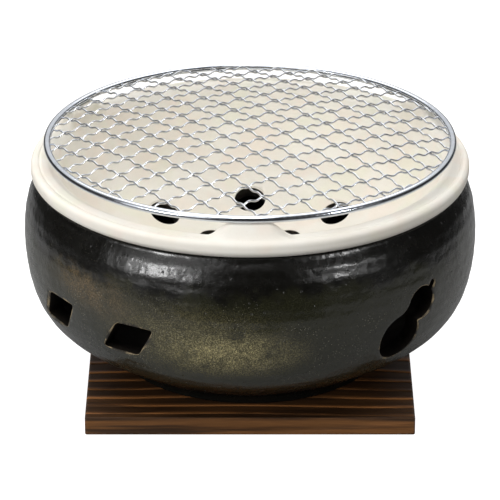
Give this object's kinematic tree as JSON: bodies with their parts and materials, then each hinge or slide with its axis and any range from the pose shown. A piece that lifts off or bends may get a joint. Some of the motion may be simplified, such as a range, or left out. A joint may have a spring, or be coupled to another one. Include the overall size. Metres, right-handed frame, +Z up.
{
  "type": "tabletop charcoal hibachi grill",
  "caption": "Round glazed stoneware charcoal grill on a square wooden board, with air windows in its wall, a pale perforated fire bowl and a domed wire grilling net.",
  "frame": {"origin": "centre of the board's underside, on the pot's axis", "axes": "+Z up along the axis of the pot; -Y is the front, where the net's nearest rim support stands; +X is to the right"},
  "size_m": [0.2426, 0.2426, 0.1433],
  "materials": {
    "charred_wood": "scorched and brushed softwood, grain raised, dark brown with lighter bands",
    "iron_glaze": "glossy, slightly bumpy iron-black glaze with an olive-brown blush",
    "pale_clay": "matte unglazed cream firing clay",
    "steel": "bright plated steel wire"
  },
  "bodies": {
    "base": {"board": "charred_wood"},
    "pot": {"outer_pot": "iron_glaze"},
    "bowl": {"fire_bowl": "pale_clay"},
    "net": {"net_hoop": "steel", "net_wire_lengthwise_01": "steel", "net_wire_lengthwise_02": "steel", "net_wire_lengthwise_03": "steel", "net_wire_lengthwise_04": "steel", "net_wire_lengthwise_05": "steel", "net_wire_lengthwise_06": "steel", "net_wire_lengthwise_07": "steel", "net_wire_lengthwise_08": "steel", "net_wire_lengthwise_09": "steel", "net_wire_lengthwise_10": "steel", "net_wire_lengthwise_11": "steel", "net_wire_lengthwise_12": "steel", "net_wire_lengthwise_13": "steel", "net_wire_lengthwise_14": "steel", "net_wire_lengthwise_15": "steel", "net_wire_lengthwise_16": "steel", "net_wire_crosswise_01": "steel", "net_wire_crosswise_02": "steel", "net_wire_crosswise_03": "steel", "net_wire_crosswise_04": "steel", "net_wire_crosswise_05": "steel", "net_wire_crosswise_06": "steel", "net_wire_crosswise_07": "steel", "net_wire_crosswise_08": "steel", "net_wire_crosswise_09": "steel", "net_wire_crosswise_10": "steel", "net_wire_crosswise_11": "steel", "net_wire_crosswise_12": "steel", "net_wire_crosswise_13": "steel", "net_wire_crosswise_14": "steel", "net_wire_crosswise_15": "steel", "net_wire_crosswise_16": "steel"}
  },
  "joints": [
    {"name": "pot_lift", "type": "slide", "parent": "base", "child": "pot", "axis": [0, 0, 1], "range_m": [0, 0.06]},
    {"name": "bowl_lift", "type": "slide", "parent": "pot", "child": "bowl", "axis": [0, 0, 1], "range_m": [0, 0.09]},
    {"name": "net_lift", "type": "slide", "parent": "bowl", "child": "net", "axis": [0, 0, 1], "range_m": [0, 0.05]}
  ]
}
